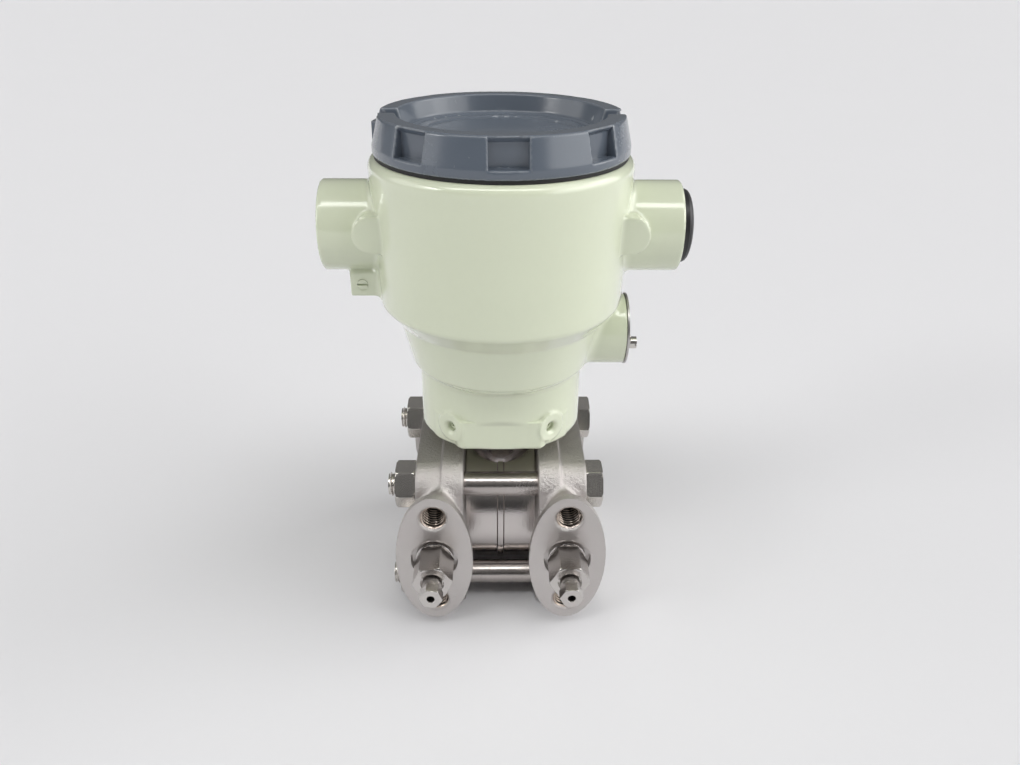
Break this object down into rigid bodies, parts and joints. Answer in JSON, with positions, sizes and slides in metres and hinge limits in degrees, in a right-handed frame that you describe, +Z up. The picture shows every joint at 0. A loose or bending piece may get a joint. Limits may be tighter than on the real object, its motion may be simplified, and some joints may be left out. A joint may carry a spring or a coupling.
{
  "type": "differential pressure transmitter",
  "caption": "Differential pressure transmitter: process flanges bolted on a disc capsule, vent valves, swivelling painted housing with conduit entries and a screw cover.",
  "frame": {"origin": "centre of the rear process connection: on the rear flange faces, midway between the two ports", "axes": "+X from the high-pressure side to the low-pressure side, +Y out of the rear process connection, +Z up along the neck and housing axis"},
  "size_m": [0.1414, 0.1202, 0.2031],
  "materials": {
    "flange_steel": "cast stainless, machined faces",
    "capsule_steel": "turned and polished stainless",
    "fastener_steel": "bright stainless",
    "housing_paint": "gloss pale green cream on cast aluminium",
    "cover_paint": "semi-gloss blue grey on cast aluminium",
    "black_rubber": "matt",
    "cap_plastic": "satin black",
    "seal_white": "fluoropolymer",
    "plate_steel": "thin sheet",
    "module_plastic": "potted",
    "terminal_plastic": "moulded",
    "terminal_brass": "nickelled brass"
  },
  "bodies": {
    "measuring_body": {"process_flange_high": "flange_steel", "process_flange_low": "flange_steel", "capsule_body": "capsule_steel", "isolating_diaphragms": "capsule_steel", "capsule_gaskets": "seal_white", "flange_bolts": "fastener_steel", "flange_nuts": "fastener_steel", "vent_plug_high": "fastener_steel", "vent_plug_low": "fastener_steel"},
    "vent_ball_high": {"vent_ball_high": "fastener_steel"},
    "vent_stem_high": {"vent_stem_high": "fastener_steel"},
    "vent_ball_low": {"vent_ball_low": "fastener_steel"},
    "vent_stem_low": {"vent_stem_low": "fastener_steel"},
    "housing": {"housing": "housing_paint", "set_screws": "fastener_steel", "earth_screw": "housing_paint", "adjuster_plate": "plate_steel", "adjuster_plate_screws": "fastener_steel", "amplifier_module": "module_plastic", "module_screws": "fastener_steel", "terminal_block": "terminal_plastic", "terminal_screws": "terminal_brass"},
    "zero_adjuster": {"zero_adjuster": "fastener_steel"},
    "cover_gasket": {"cover_gasket": "black_rubber"},
    "cover": {"cover": "cover_paint"},
    "conduit_cap": {"conduit_cap": "cap_plastic"}
  },
  "joints": [
    {"name": "housing_swivel", "type": "hinge", "parent": "measuring_body", "child": "housing", "pos_m": [0, -0.048, 0.05], "axis": [0, 0, 1], "range_deg": [-180, 180]},
    {"name": "cover_rise", "type": "slide", "parent": "housing", "child": "cover_gasket", "axis": [0, 0, 1], "range_m": [0, 0.014]},
    {"name": "cover_turn", "type": "hinge", "parent": "cover_gasket", "child": "cover", "pos_m": [0, -0.048, 0.154], "axis": [0, 0, 1], "range_deg": [0, 2520]},
    {"name": "conduit_cap_pull", "type": "slide", "parent": "housing", "child": "conduit_cap", "axis": [1, 0, 0], "range_m": [0, 0.012]},
    {"name": "zero_adjuster_turn", "type": "hinge", "parent": "housing", "child": "zero_adjuster", "pos_m": [0.0512, -0.048, 0.0752], "axis": [1, 0, 0], "continuous": true},
    {"name": "vent_ball_high_travel", "type": "slide", "parent": "measuring_body", "child": "vent_ball_high", "axis": [0, -1, 0], "range_m": [0, 0.002]},
    {"name": "vent_stem_high_turn", "type": "hinge", "parent": "vent_ball_high", "child": "vent_stem_high", "pos_m": [-0.027, -0.11, 0], "axis": [0, -1, 0], "range_deg": [0, 720]},
    {"name": "vent_ball_low_travel", "type": "slide", "parent": "measuring_body", "child": "vent_ball_low", "axis": [0, -1, 0], "range_m": [0, 0.002]},
    {"name": "vent_stem_low_turn", "type": "hinge", "parent": "vent_ball_low", "child": "vent_stem_low", "pos_m": [0.027, -0.11, 0], "axis": [0, -1, 0], "range_deg": [0, 720]}
  ],
  "couplings": [
    {"joint": "cover_rise", "follows": "cover_turn", "m_per_rad": 0.00031831},
    {"joint": "vent_ball_high_travel", "follows": "vent_stem_high_turn", "m_per_rad": 0.00015915},
    {"joint": "vent_ball_low_travel", "follows": "vent_stem_low_turn", "m_per_rad": 0.00015915}
  ]
}
